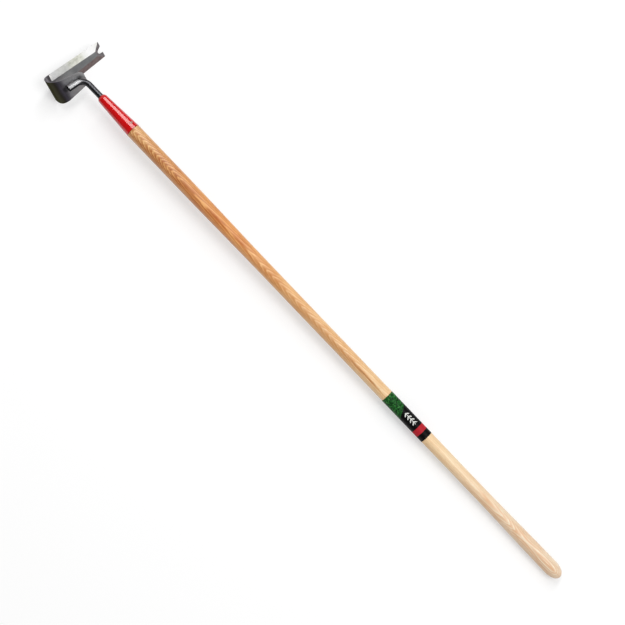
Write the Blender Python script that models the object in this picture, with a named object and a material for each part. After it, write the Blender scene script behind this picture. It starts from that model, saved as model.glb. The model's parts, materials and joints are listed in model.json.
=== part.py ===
# Push-pull hoe with an ash handle, lying at rest on a floor.
#
# One steel strip is cut to a blank, bent into a J and ground sharp on its lower leg, the blade.
# A bent bar is welded to the upper leg, the flange, and carries the head on a tapered socket,
# which is pinned to the end of a turned handle.
#
# Lengths are in metres and angles in degrees, with +Z up. The origin is on the floor under the
# middle of the tool, and +X runs from the head towards the butt of the handle.
#
# The head has a frame of its own: x from the bend to the blade's free end, y towards the front
# cutting edge, z from the blade up to the flange. The handle's frame has its origin at the
# socket's nose and its z along the handle towards the butt.

import math

import bmesh
import bpy
from mathutils import Matrix, Vector

# Fits
SEAT_GAP = 0.0003
NOSE_CLEARANCE = 0.0004
TENON_CLEARANCE = 0.0004

# Strip
STRIP_THICKNESS = 0.003
BLADE_REACH = 0.1635
BLADE_END_WIDTH = 0.047
BLADE_ROOT_WIDTH = 0.061
STRIP_WIDEST = 0.0688
HEAD_HEIGHT = 0.0486
LOWER_BEND_RADIUS = 0.013
UPPER_BEND_RADIUS = 0.028
WIDEST_ANGLE = 39.0
FLANGE_REACH = 0.082
FLANGE_END_WIDTH = 0.0405
FLANGE_RISE = 3.8
FLANGE_CORNER_RADIUS = 0.0115

# Ground edges and weed notch
EDGE_LAND = 0.0004
FRONT_BEVEL_WIDTH = 0.0186
REAR_BEVEL_WIDTH = 0.016
END_BEVEL_WIDTH = 0.018
BEVEL_START = 0.0175
BEVEL_RUN_OUT = 0.007
NOTCH_MOUTH = 0.0178
NOTCH_DEPTH = 0.0125
NOTCH_ROOT_RADIUS = 0.0066
NOTCH_ROOT_SHIFT = 0.0022
NOTCH_FRONT_LIP = 0.0145

# Neck
NECK_DIAMETER = 0.0145
FOOT_START = 0.0305
FOOT_OFFSET = 0.0036
FOOT_SINK = 0.0008
FOOT_CHAMFER = 0.0008
RIB_PITCH = 0.0023
RIB_DEPTH = 0.0005
RIBBED_LENGTH = 0.022
NECK_CROSSING = 0.0746
NECK_BEND_RADIUS = 0.024
NECK_REACH = 0.0617
NECK_TAIL = 0.022
HANDLE_ELEVATION = 50.6
HANDLE_LEAN = 5.9

# Welds
FOOT_WELD_HEIGHT = 0.002
FOOT_WELD_LEG = 0.0011
NOSE_WELD_LEG = 0.0022

# Socket and its pin
SOCKET_LENGTH = 0.1086
SOCKET_NOSE_DIAMETER = 0.0248
SOCKET_NOSE_DOME = 0.009
SOCKET_WALL = 0.0016
SOCKET_STAND_PROUD = 0.0002
RIVET_FROM_MOUTH = 0.0141
RIVET_DIAMETER = 0.0045
RIVET_HEAD_DIAMETER = 0.0075
RIVET_HEAD_HEIGHT = 0.0019
RIVET_TURN = -26.0

# Handle and label
HANDLE_DIAMETER = 0.036
MIDDLE_DIAMETER = 0.0323
SWELL_DIAMETER = 0.037
VISIBLE_HANDLE = 1.467
FRONT_GRIP_LENGTH = 0.176
FRONT_TAPER_LENGTH = 0.285
SWELL_LENGTH = 0.25
BUTT_DOME = 0.031
TENON_END_ROOM = 0.003
LABEL_FROM_MOUTH = 0.8725
LABEL_LENGTH = 0.1355
LABEL_THICKNESS = 0.0003

# Facets
BEND_STEPS = 9
CORNER_STEPS = 6
NOTCH_STEPS = 14
NECK_BEND_STEPS = 12
NECK_SIDES = 24
TURNED_SIDES = 40
PIN_SIDES = 24
TAPER_STEPS = 8
DOME_STEPS = 9
BEAD_STEPS = 5
SHARP_ANGLE = 35.0


# Scene, materials and objects

def clear_scene():
    for old in list(bpy.context.scene.objects):
        bpy.data.objects.remove(old, do_unlink=True)


def make_material(name, colour, roughness, metallic):
    material = bpy.data.materials.new(name)
    material.use_nodes = True
    shader = material.node_tree.nodes["Principled BSDF"]
    shader.inputs["Base Color"].default_value = (*colour, 1.0)
    shader.inputs["Roughness"].default_value = roughness
    shader.inputs["Metallic"].default_value = metallic
    return material


def make_empty(name, parent=None):
    empty = bpy.data.objects.new(name, None)
    empty.empty_display_size = 0.05
    bpy.context.scene.collection.objects.link(empty)
    empty.parent = parent
    return empty


def make_object(name, shape, parent, material=None):
    bmesh.ops.recalc_face_normals(shape, faces=shape.faces)
    mesh = bpy.data.meshes.new(name)
    shape.to_mesh(mesh)
    shape.free()
    mesh.shade_smooth()
    mesh.set_sharp_from_angle(angle=math.radians(SHARP_ANGLE))
    piece = bpy.data.objects.new(name, mesh)
    bpy.context.scene.collection.objects.link(piece)
    piece.parent = parent
    if material:
        mesh.materials.append(material)
    return piece


def cut_away(piece, name, shape):
    """Takes a shape, given in the piece's own parent frame, off the piece."""
    cutter = make_object(name, shape, piece.parent)
    cutter.hide_render = True
    cutter.display_type = "WIRE"
    boolean = piece.modifiers.new(name, "BOOLEAN")
    boolean.operation = "DIFFERENCE"
    boolean.solver = "EXACT"
    boolean.object = cutter


# Shapes

def arc(centre, radius, start, end, steps):
    """Points on an arc between two angles in radians, both ends included."""
    points = []
    for i in range(steps + 1):
        angle = start + (end - start) * i / steps
        points.append((centre[0] + radius * math.cos(angle), centre[1] + radius * math.sin(angle)))
    return points


def rounded_corner(before, corner, after, radius, steps):
    """The fillet between the two sides that meet at a corner."""
    to_before = (before - corner).normalized()
    to_after = (after - corner).normalized()
    half = to_before.angle(to_after) / 2.0
    centre = corner + (to_before + to_after).normalized() * radius / math.sin(half)
    first = corner + to_before * radius / math.tan(half) - centre
    last = corner + to_after * radius / math.tan(half) - centre
    start = math.atan2(first.y, first.x)
    turn = (math.atan2(last.y, last.x) - start + math.pi) % (2.0 * math.pi) - math.pi
    return arc(centre, radius, start, start + turn, steps)


def loft(rings):
    """A closed solid through rings of equally many points."""
    shape = bmesh.new()
    loops = [[shape.verts.new(point) for point in ring] for ring in rings]
    for near, far in zip(loops, loops[1:]):
        for i in range(len(near)):
            j = (i + 1) % len(near)
            shape.faces.new((near[i], near[j], far[j], far[i]))
    shape.faces.new(loops[0])
    shape.faces.new(loops[-1])
    return shape


def prism(outline, low, high):
    """An (x, y) outline extruded between two heights."""
    return loft([[(x, y, z) for x, y in outline] for z in (low, high)])


def hull(points):
    shape = bmesh.new()
    for point in points:
        shape.verts.new(point)
    bmesh.ops.convex_hull(shape, input=shape.verts)
    return shape


def turned(profile, sides):
    """Turns (radius, z) points about z: from axis to axis, or all round a ring's section."""
    shape = bmesh.new()
    verts = [shape.verts.new((radius, 0.0, z)) for radius, z in profile]
    edges = [shape.edges.new(pair) for pair in zip(verts, verts[1:])]
    if profile[0][0] > 0.0:
        edges.append(shape.edges.new((verts[-1], verts[0])))
    bmesh.ops.spin(
        shape,
        geom=verts + edges,
        cent=(0.0, 0.0, 0.0),
        axis=(0.0, 0.0, 1.0),
        angle=2.0 * math.pi,
        steps=sides,
        use_merge=True,
    )
    bmesh.ops.remove_doubles(shape, verts=shape.verts, dist=1e-7)
    return shape


# The strip's form. A station is the distance along its outer face from the blade's free end.

def upper_turn():
    return math.radians(90.0 - FLANGE_RISE)


def flange_direction():
    rise = math.radians(FLANGE_RISE)
    return Vector((math.cos(rise), 0.0, math.sin(rise)))


def flange_normal():
    rise = math.radians(FLANGE_RISE)
    return Vector((-math.sin(rise), 0.0, math.cos(rise)))


def flange_root():
    """Where the upper bend's outer face runs into the flange's top face."""
    turn = upper_turn()
    x = UPPER_BEND_RADIUS * (1.0 - math.cos(turn))
    z = HEAD_HEIGHT - UPPER_BEND_RADIUS * (1.0 - math.sin(turn))
    return Vector((x, 0.0, z))


def flange_top(x, y=0.0):
    """The point of the flange's top face over x and y."""
    along = (x - flange_root().x) / flange_direction().x
    return flange_root() + flange_direction() * along + Vector((0.0, y, 0.0))


def stations():
    """The stations where the blade, lower bend, web, upper bend and flange end."""
    blade = BLADE_REACH - LOWER_BEND_RADIUS
    lower = blade + LOWER_BEND_RADIUS * math.pi / 2.0
    web = lower + HEAD_HEIGHT - LOWER_BEND_RADIUS - UPPER_BEND_RADIUS
    upper = web + UPPER_BEND_RADIUS * upper_turn()
    flange = upper + (FLANGE_REACH - flange_root().x) / flange_direction().x
    return blade, lower, web, upper, flange


def bent(station, y, depth):
    """Bends a point of the flat blank, lying depth below its outer face, into the J."""
    blade, lower, web, upper, flange = stations()
    if station <= blade:
        return Vector((BLADE_REACH - station, y, depth))
    if station <= lower:
        turn = (station - blade) / LOWER_BEND_RADIUS
        reach = LOWER_BEND_RADIUS - depth
        x = LOWER_BEND_RADIUS - reach * math.sin(turn)
        z = LOWER_BEND_RADIUS - reach * math.cos(turn)
        return Vector((x, y, z))
    if station <= web:
        return Vector((depth, y, LOWER_BEND_RADIUS + station - lower))
    if station <= upper:
        turn = (station - web) / UPPER_BEND_RADIUS
        reach = UPPER_BEND_RADIUS - depth
        x = UPPER_BEND_RADIUS - reach * math.cos(turn)
        z = HEAD_HEIGHT - UPPER_BEND_RADIUS + reach * math.sin(turn)
        return Vector((x, y, z))
    along = flange_direction() * (station - upper)
    return flange_root() + along - flange_normal() * depth + Vector((0.0, y, 0.0))


def blank_outline():
    """The flat blank as (station, half width), widest part way up the upper bend."""
    blade, lower, web, upper, flange = stations()
    widest = web + UPPER_BEND_RADIUS * math.radians(WIDEST_ANGLE)
    knots = [
        (0.0, BLADE_END_WIDTH / 2.0),
        (blade, BLADE_ROOT_WIDTH / 2.0),
        (widest, STRIP_WIDEST / 2.0),
        (flange, FLANGE_END_WIDTH / 2.0),
    ]
    cuts = [0.0, widest]
    for i in range(BEND_STEPS + 1):
        cuts.append(blade + (lower - blade) * i / BEND_STEPS)
        cuts.append(web + (upper - web) * i / BEND_STEPS)
    outline = []
    for station in sorted(cuts):
        outline.append((station, between(knots, station)))
    side, corner = Vector(knots[2]), Vector(knots[3])
    end = Vector((flange, 0.0))
    outline += rounded_corner(side, corner, end, FLANGE_CORNER_RADIUS, CORNER_STEPS)
    return outline


def between(knots, position):
    """Reads a straight-sided curve at a position, carried on past its first and last knots."""
    spans = list(zip(knots, knots[1:]))
    for (p0, v0), (p1, v1) in spans:
        if position <= p1:
            break
    return v0 + (v1 - v0) * (position - p0) / (p1 - p0)


def blade_edge(x, side, inset=0.0, height=0.0):
    """A point on the blade at x, inset from its front (side 1) or rear (side -1) edge."""
    knots = [(LOWER_BEND_RADIUS, BLADE_ROOT_WIDTH / 2.0), (BLADE_REACH, BLADE_END_WIDTH / 2.0)]
    return Vector((x, side * (between(knots, x) - inset), height))


def notch_outline():
    """Two lips joined by tangents to the round root of the weed notch."""
    front_lip = Vector((BLADE_REACH, BLADE_END_WIDTH / 2.0 - NOTCH_FRONT_LIP))
    rear_lip = front_lip - Vector((0.0, NOTCH_MOUTH))
    root_centre = (front_lip + rear_lip) / 2.0
    root_centre += Vector((NOTCH_ROOT_RADIUS - NOTCH_DEPTH, -NOTCH_ROOT_SHIFT))
    touches = []
    for lip, side in ((front_lip, 1.0), (rear_lip, -1.0)):
        away = lip - root_centre
        swing = math.acos(NOTCH_ROOT_RADIUS / away.length)
        touches.append(math.atan2(away.y, away.x) + side * swing)
    start, end = touches[0], touches[1] + 2.0 * math.pi
    root = arc(root_centre, NOTCH_ROOT_RADIUS, start, end, NOTCH_STEPS)
    past_end = Vector((NOTCH_DEPTH, 0.0))
    return [front_lip + past_end, front_lip, *root, rear_lip, rear_lip + past_end]


def grinding_wedge(edge, inner_line, run_out=0.0):
    """What is ground off over the plane from a cutting edge to the inner line of its bevel.

    Each line is given by its start and end. The wedge's start leans back by run_out over the
    strip's thickness, as a grinding wheel leaves it, and it reaches out past the edge.
    """
    spread = 1.5
    top = STRIP_THICKNESS + SEAT_GAP
    lower, upper = [], []
    for outer, inner, lean in zip(edge, inner_line, (run_out, 0.0)):
        slope = lean / (STRIP_THICKNESS - EDGE_LAND)
        for point in (inner, inner + (outer - inner) * spread):
            lower.append(point)
            rise = top - point.z
            upper.append(point + Vector((-slope * rise, 0.0, rise)))
    return hull(lower + upper)


def side_bevel(side, width):
    past_end = BLADE_REACH + END_BEVEL_WIDTH
    edge = (
        blade_edge(BEVEL_START + BEVEL_RUN_OUT, side, 0.0, EDGE_LAND),
        blade_edge(past_end, side, 0.0, EDGE_LAND),
    )
    inner_line = (
        blade_edge(BEVEL_START, side, width, STRIP_THICKNESS),
        blade_edge(past_end, side, width, STRIP_THICKNESS),
    )
    return grinding_wedge(edge, inner_line, BEVEL_RUN_OUT)


def end_bevel():
    across = BLADE_ROOT_WIDTH
    edge = [Vector((BLADE_REACH, y, EDGE_LAND)) for y in (across, -across)]
    line_x = BLADE_REACH - END_BEVEL_WIDTH
    inner_line = [Vector((line_x, y, STRIP_THICKNESS)) for y in (across, -across)]
    return grinding_wedge(edge, inner_line)


def make_head(parent, material):
    rings = []
    for station, half in blank_outline():
        corners = ((half, 0.0), (-half, 0.0), (-half, STRIP_THICKNESS), (half, STRIP_THICKNESS))
        rings.append([bent(station, y, depth) for y, depth in corners])
    head = make_object("hoe_head", loft(rings), parent, material)
    through = STRIP_THICKNESS
    cut_away(head, "notch_cutter", prism(notch_outline(), -through, 2.0 * through))
    cut_away(head, "front_bevel_cutter", side_bevel(1.0, FRONT_BEVEL_WIDTH))
    cut_away(head, "rear_bevel_cutter", side_bevel(-1.0, REAR_BEVEL_WIDTH))
    cut_away(head, "end_bevel_cutter", end_bevel())


# The neck's form, in the head's frame

def foot_height():
    """How far the foot's middle line lies over the flange's top face."""
    return NECK_DIAMETER / 2.0 - FOOT_SINK + SEAT_GAP


def foot_point(x):
    return flange_top(x, FOOT_OFFSET) + flange_normal() * foot_height()


def handle_direction():
    elevation = math.radians(HANDLE_ELEVATION)
    lean = math.radians(HANDLE_LEAN)
    level = math.cos(elevation)
    x = level * math.sin(lean)
    y = -level * math.cos(lean)
    return Vector((x, y, math.sin(elevation)))


def socket_nose():
    return foot_point(NECK_CROSSING) + handle_direction() * NECK_REACH


def neck_bend_tangent():
    turn = flange_direction().angle(handle_direction())
    return NECK_BEND_RADIUS * math.tan(turn / 2.0)


def foot_stations():
    """(distance along the foot, radius, groove depth) for its chamfer and pressed ribs."""
    groove_start, groove_bottom, groove_end = 0.45, 0.65, 0.95
    radius = NECK_DIAMETER / 2.0
    marks = [(0.0, radius - FOOT_CHAMFER, 0.0), (FOOT_CHAMFER, radius, 0.0)]
    ribs = int((RIBBED_LENGTH - FOOT_CHAMFER) / RIB_PITCH)
    for i in range(ribs):
        start = FOOT_CHAMFER + RIB_PITCH * i
        marks.append((start + RIB_PITCH * groove_start, radius, 0.0))
        marks.append((start + RIB_PITCH * groove_bottom, radius, RIB_DEPTH))
        marks.append((start + RIB_PITCH * groove_end, radius, 0.0))
    return marks


def make_neck(parent, material):
    foot, rod = flange_direction(), handle_direction()
    plane_normal = foot.cross(rod).normalized()
    crossing = foot_point(NECK_CROSSING)
    tangent = neck_bend_tangent()
    turn = foot.angle(rod)
    bend_centre = crossing - foot * tangent + plane_normal.cross(foot) * NECK_BEND_RADIUS
    radius = NECK_DIAMETER / 2.0

    sections = []
    for along, size, groove in foot_stations():
        sections.append((foot_point(FOOT_START) + foot * along, foot, size, groove))
    for i in range(NECK_BEND_STEPS + 1):
        swing = Matrix.Rotation(turn * i / NECK_BEND_STEPS, 3, plane_normal)
        centre = bend_centre + swing @ (crossing - foot * tangent - bend_centre)
        sections.append((centre, swing @ foot, radius, 0.0))
    sections.append((socket_nose() + rod * NECK_TAIL, rod, radius, 0.0))

    rings = []
    for centre, direction, size, groove in sections:
        inward = plane_normal.cross(direction)
        ring = []
        for i in range(NECK_SIDES):
            angle = 2.0 * math.pi * i / NECK_SIDES
            spoke = inward * math.cos(angle) + plane_normal * math.sin(angle)
            bite = groove * max(0.0, spoke.dot(flange_normal()))
            ring.append(flattened(centre + spoke * (size - bite)))
        rings.append(ring)
    make_object("neck_rod", loft(rings), parent, material)


def flattened(point):
    """Presses a point of the foot up to its seat on the flange."""
    over_flange = (point - flange_root()).dot(flange_normal())
    return point + flange_normal() * max(0.0, SEAT_GAP - over_flange)


def make_foot_weld(name, side, parent, material):
    """A bead in the corner between the foot's side and the flange, thinner at its ends."""
    run_in, end_size = 0.08, 0.5
    crown_out, crown_up = 0.75, 0.55
    reach = NECK_DIAMETER / 2.0 + SEAT_GAP
    low = math.asin((foot_height() - SEAT_GAP) / reach)
    high = math.asin((foot_height() - FOOT_WELD_HEIGHT) / reach)
    inner = [(x, foot_height() + y) for x, y in arc((0.0, 0.0), reach, -low, -high, BEAD_STEPS)]
    top_x = inner[-1][0]
    length = NECK_CROSSING - neck_bend_tangent() - FOOT_START - 2.0 * FOOT_CHAMFER
    rings = []
    for share, size in ((0.0, end_size), (run_in, 1.0), (1.0 - run_in, 1.0), (1.0, end_size)):
        leg = FOOT_WELD_LEG * size
        toe = (top_x + leg, SEAT_GAP)
        crown_height = SEAT_GAP + (FOOT_WELD_HEIGHT - SEAT_GAP) * crown_up
        crown = (top_x + leg * crown_out, crown_height)
        start = foot_point(FOOT_START) - flange_normal() * foot_height()
        start += flange_direction() * (FOOT_CHAMFER + length * share)
        ring = []
        for out, up in (*inner, crown, toe):
            ring.append(start + Vector((0.0, side * out, 0.0)) + flange_normal() * up)
        rings.append(ring)
    make_object(name, loft(rings), parent, material)


# Socket, handle and what is on them, in the handle's frame

def nose_hole_radius():
    return NECK_DIAMETER / 2.0 + NOSE_CLEARANCE


def nose_flat_radius():
    return nose_hole_radius() + NOSE_WELD_LEG


def socket_radius(z):
    """The socket's outer radius at z on its straight taper."""
    mouth = HANDLE_DIAMETER / 2.0 + SOCKET_STAND_PROUD
    share = (z - SOCKET_NOSE_DOME) / (SOCKET_LENGTH - SOCKET_NOSE_DOME)
    return SOCKET_NOSE_DIAMETER / 2.0 + (mouth - SOCKET_NOSE_DIAMETER / 2.0) * share


def nose_dome(wall):
    """The nose's rounding, on the outside or inset by a wall."""
    points = []
    for i in range(DOME_STEPS + 1):
        angle = math.pi / 2.0 * i / DOME_STEPS
        across = SOCKET_NOSE_DIAMETER / 2.0 - wall - nose_flat_radius()
        radius = nose_flat_radius() + across * math.sin(angle)
        z = wall + (SOCKET_NOSE_DOME - wall) * (1.0 - math.cos(angle))
        points.append((radius, z))
    return points


def pin_shape(radius, half_length):
    ends = (-half_length, half_length)
    profile = [(0.0, ends[0]), (radius, ends[0]), (radius, ends[1]), (0.0, ends[1])]
    return turned(profile, PIN_SIDES)


def place_across(shape):
    """Lays a shape that stands on z across the handle at the rivet."""
    z = SOCKET_LENGTH - RIVET_FROM_MOUTH
    turn = Matrix.Rotation(math.radians(RIVET_TURN), 4, "Z")
    lay = Matrix.Rotation(math.radians(90.0), 4, "Y")
    place = Matrix.Translation((0.0, 0.0, z)) @ turn @ lay
    bmesh.ops.transform(shape, matrix=place, verts=shape.verts)
    return shape


def rivet_bore():
    return place_across(pin_shape(RIVET_DIAMETER / 2.0 + SEAT_GAP, HANDLE_DIAMETER))


def make_socket(parent, material):
    mouth_z = SOCKET_LENGTH
    profile = [(nose_hole_radius(), 0.0), *nose_dome(0.0), (socket_radius(mouth_z), mouth_z)]
    profile.append((socket_radius(mouth_z) - SOCKET_WALL, mouth_z))
    profile += reversed(nose_dome(SOCKET_WALL))
    profile.append((nose_hole_radius(), SOCKET_WALL))
    socket = make_object("socket", turned(profile, TURNED_SIDES), parent, material)
    cut_away(socket, "socket_rivet_cutter", rivet_bore())


def make_nose_weld(parent, material):
    """A bead all round the neck where it enters the socket's nose."""
    fullness = 0.62
    inner = NECK_DIAMETER / 2.0 + SEAT_GAP
    seat = -SEAT_GAP
    crown = NOSE_WELD_LEG * fullness
    profile = [
        (inner, seat),
        (inner + NOSE_WELD_LEG, seat),
        (inner + crown, seat - crown),
        (inner, seat - NOSE_WELD_LEG),
    ]
    make_object("nose_weld", turned(profile, TURNED_SIDES), parent, material)


def handle_profile():
    """(radius, z) from the tenon's end to the tip of the butt."""
    tenon_start = NECK_TAIL + TENON_END_ROOM
    shoulder = SOCKET_LENGTH + SEAT_GAP
    inset = SOCKET_WALL + TENON_CLEARANCE
    front, middle, swell = HANDLE_DIAMETER / 2.0, MIDDLE_DIAMETER / 2.0, SWELL_DIAMETER / 2.0
    profile = [(0.0, tenon_start)]
    profile.append((socket_radius(tenon_start) - inset, tenon_start))
    profile.append((socket_radius(shoulder) - inset, shoulder))
    profile.append((front, shoulder))
    taper_start = SOCKET_LENGTH + FRONT_GRIP_LENGTH
    dome_start = SOCKET_LENGTH + VISIBLE_HANDLE - BUTT_DOME
    swell_start = dome_start - SWELL_LENGTH
    for i in range(TAPER_STEPS + 1):
        share = i / TAPER_STEPS
        radius = front + (middle - front) * ease(share)
        profile.append((radius, taper_start + FRONT_TAPER_LENGTH * share))
    for i in range(TAPER_STEPS + 1):
        share = i / TAPER_STEPS
        radius = middle + (swell - middle) * ease(share)
        profile.append((radius, swell_start + SWELL_LENGTH * share))
    for i in range(1, DOME_STEPS + 1):
        angle = math.pi / 2.0 * i / DOME_STEPS
        profile.append((swell * math.cos(angle), dome_start + BUTT_DOME * math.sin(angle)))
    profile[-1] = (0.0, profile[-1][1])
    return profile


def ease(share):
    return share * share * (3.0 - 2.0 * share)


def make_handle(parent, material):
    handle = make_object("handle", turned(handle_profile(), TURNED_SIDES), parent, material)
    cut_away(handle, "handle_rivet_cutter", rivet_bore())


def make_rivet(parent, material):
    seat = socket_radius(SOCKET_LENGTH - RIVET_FROM_MOUTH) + SEAT_GAP
    shank, head = RIVET_DIAMETER / 2.0, RIVET_HEAD_DIAMETER / 2.0
    half = []
    for i in range(BEAD_STEPS + 1):
        angle = math.pi / 2.0 * (1.0 - i / BEAD_STEPS)
        half.append((head * math.cos(angle), seat + RIVET_HEAD_HEIGHT * math.sin(angle)))
    half[0] = (0.0, half[0][1])
    half.append((shank, seat))
    profile = half + [(radius, -z) for radius, z in reversed(half)]
    make_object("rivet", place_across(turned(profile, PIN_SIDES)), parent, material)


def make_label(parent, material):
    inner = MIDDLE_DIAMETER / 2.0 + SEAT_GAP
    outer = inner + LABEL_THICKNESS
    start = SOCKET_LENGTH + LABEL_FROM_MOUTH
    end = start + LABEL_LENGTH
    profile = [(inner, start), (outer, start), (outer, end), (inner, end)]
    make_object("label_sleeve", turned(profile, TURNED_SIDES), parent, material)


# Placing: the handle on the head, and the tool on the floor

def handle_placement():
    """The handle's frame in the head's: z along the handle, x on the flange's side of it."""
    along = handle_direction()
    up = Vector((0.0, 0.0, 1.0))
    x_axis = (up - along * up.dot(along)).normalized()
    y_axis = along.cross(x_axis)
    turn = Matrix((x_axis, y_axis, along)).transposed()
    return Matrix.Translation(socket_nose()) @ turn.to_4x4()


def lying_turn():
    """Turns the head's frame so that the blade's rear edge and the swell lie on the floor."""
    end = blade_edge(BLADE_REACH, -1.0)
    root = blade_edge(LOWER_BEND_RADIUS, -1.0)
    edge = (end - root).normalized()
    swell_z = SOCKET_LENGTH + VISIBLE_HANDLE - BUTT_DOME
    swell = socket_nose() + handle_direction() * swell_z - end
    off_edge = swell - edge * swell.dot(edge)
    share = SWELL_DIAMETER / 2.0 / off_edge.length
    across = edge.cross(off_edge.normalized())
    up = off_edge.normalized() * share - across * math.sqrt(1.0 - share * share)
    if up.z < 0.0:
        up = off_edge.normalized() * share + across * math.sqrt(1.0 - share * share)
    x_axis = (handle_direction() - up * up.dot(handle_direction())).normalized()
    y_axis = up.cross(x_axis)
    return Matrix((x_axis, y_axis, up)).to_4x4()


def centre_on_floor(root):
    """Moves the tool until its box stands on the origin."""
    bpy.context.view_layer.update()
    depsgraph = bpy.context.evaluated_depsgraph_get()
    points = []
    for piece in bpy.context.scene.objects:
        if piece.type == "MESH" and not piece.hide_render:
            final = piece.evaluated_get(depsgraph)
            points += [final.matrix_world @ vertex.co for vertex in final.data.vertices]
    low = [min(point[i] for point in points) for i in range(3)]
    high = [max(point[i] for point in points) for i in range(3)]
    offset = Vector(((low[0] + high[0]) / 2.0, (low[1] + high[1]) / 2.0, low[2]))
    root.matrix_world = Matrix.Translation(-offset) @ root.matrix_world
    bpy.context.view_layer.update()


def build():
    clear_scene()
    steel = make_material("stainless_steel", (0.36, 0.35, 0.34), 0.32, 1.0)
    bar = make_material("neck_steel", (0.30, 0.30, 0.31), 0.35, 1.0)
    bead = make_material("weld_bead", (0.16, 0.16, 0.17), 0.5, 1.0)
    lacquer = make_material("red_lacquer", (0.52, 0.0, 0.004), 0.25, 0.0)
    nose_lacquer = make_material("nose_lacquer", (0.50, 0.0, 0.004), 0.3, 0.0)
    pin = make_material("rivet_steel", (0.55, 0.2, 0.18), 0.4, 1.0)
    ash = make_material("ash_wood", (0.72, 0.42, 0.20), 0.45, 0.0)
    print_film = make_material("label_film", (0.02, 0.03, 0.02), 0.35, 0.0)

    head_frame = make_empty("head_frame")
    make_head(head_frame, steel)
    make_neck(head_frame, bar)
    make_foot_weld("foot_weld_front", 1.0, head_frame, bead)
    make_foot_weld("foot_weld_rear", -1.0, head_frame, bead)

    handle_frame = make_empty("handle_frame", head_frame)
    handle_frame.matrix_local = handle_placement()
    make_socket(handle_frame, lacquer)
    make_nose_weld(handle_frame, nose_lacquer)
    make_handle(handle_frame, ash)
    make_rivet(handle_frame, pin)
    make_label(handle_frame, print_film)

    head_frame.matrix_world = lying_turn()
    centre_on_floor(head_frame)


build()
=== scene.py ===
# Push-pull hoe: a steel strip bent into a J with ground edges, a bent neck, a red lacquered
# socket and an ash handle with a printed label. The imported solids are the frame, and each
# of them is dressed here by a finer piece in its place. Lengths are in metres, and angles in
# the dictionaries in degrees.
import json
from functools import partial
from math import acos, asin, atan2, copysign, cos, pi, radians, sin, sqrt, tan

import bmesh
import bpy
import numpy as np
from mathutils import Matrix, Vector


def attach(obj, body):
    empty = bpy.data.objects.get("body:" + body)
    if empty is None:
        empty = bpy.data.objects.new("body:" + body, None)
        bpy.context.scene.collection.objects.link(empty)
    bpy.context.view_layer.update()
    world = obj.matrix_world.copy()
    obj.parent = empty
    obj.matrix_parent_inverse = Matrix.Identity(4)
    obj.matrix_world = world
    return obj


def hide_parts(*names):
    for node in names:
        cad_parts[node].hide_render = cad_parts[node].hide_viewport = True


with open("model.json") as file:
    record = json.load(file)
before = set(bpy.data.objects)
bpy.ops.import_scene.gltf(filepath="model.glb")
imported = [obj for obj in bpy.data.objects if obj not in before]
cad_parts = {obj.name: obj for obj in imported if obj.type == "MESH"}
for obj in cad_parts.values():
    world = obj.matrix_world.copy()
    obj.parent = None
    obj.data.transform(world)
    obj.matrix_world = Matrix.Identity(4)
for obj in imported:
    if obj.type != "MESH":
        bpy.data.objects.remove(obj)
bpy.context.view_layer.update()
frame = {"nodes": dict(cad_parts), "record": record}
mm = 0.001
print("frame loaded")


# The object's own frames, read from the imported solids. The head's has x from the bend to the
# blade's free end, y to its front edge and z off the sole. The handle's has its origin at the
# socket's nose, z along the handle to the butt and x upwards.

def nodePoints(node):
    found = {tuple(round(c, 7) for c in v.co) for v in frame["nodes"][node].data.vertices}
    return np.array(sorted(found))


def unit(v):
    return v / np.linalg.norm(v)


def placeFrom(xAxis, yAxis, zAxis, origin):
    place = Matrix((xAxis, yAxis, zAxis)).transposed().to_4x4()
    place.translation = origin
    return place


def findHeadPlace():
    sole = next(m for m in frame["record"]["mounts"] if m["name"] == "sole")
    zAxis = -unit(np.array(sole["axis"]))
    points = nodePoints("hoe_head")
    overSole = (points - np.array(sole["pos_m"])) @ zAxis
    bend = points[overSole > 5 * mm]  # bends and flange mirror about the middle plane
    directions = np.linalg.eigh(np.cov(bend.T))[1].T
    yAxis = min(directions, key=lambda d: abs(d @ zAxis))
    yAxis = unit(yAxis - zAxis * (yAxis @ zAxis))
    yAxis = yAxis if yAxis[2] > 0 else -yAxis  # the front edge is the upper one as the tool lies
    xAxis = np.cross(yAxis, zAxis)
    across = bend @ yAxis
    origin = xAxis * (points @ xAxis).min()
    origin = origin + yAxis * (across.min() + across.max()) / 2
    origin = origin + zAxis * (np.array(sole["pos_m"]) @ zAxis)
    return placeFrom(xAxis, yAxis, zAxis, origin)


def findHandlePlace():
    nose = nodePoints("nose_weld").mean(0)
    zAxis = unit(nodePoints("label_sleeve").mean(0) - nose)
    up = np.array((0.0, 0.0, 1.0))
    xAxis = unit(up - zAxis * (up @ zAxis))
    start = (nodePoints("socket") @ zAxis).min()
    origin = nose + zAxis * (start - nose @ zAxis)
    return placeFrom(xAxis, np.cross(zAxis, xAxis), zAxis, origin)


headPlace = findHeadPlace()
handlePlace = findHandlePlace()


# Making materials

def linear(hexColour):
    # An sRGB hex colour as the linear colour that the shaders take
    values = []
    for i in (1, 3, 5):
        c = int(hexColour[i:i + 2], 16) / 255
        values.append(c / 12.92 if c <= 0.04045 else ((c + 0.055) / 1.055) ** 2.4)
    return (*values, 1.0)


def inUse(sockets):
    return [s for s in sockets if s.enabled and not s.is_unavailable]


def feed(socket, value):
    # Gives an input its value, or links it to an output or to a node's first output in use
    if isinstance(value, bpy.types.Node):
        value = inUse(value.outputs)[0]
    if isinstance(value, bpy.types.NodeSocket):
        socket.id_data.links.new(value, socket)
    else:
        socket.default_value = value


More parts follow.
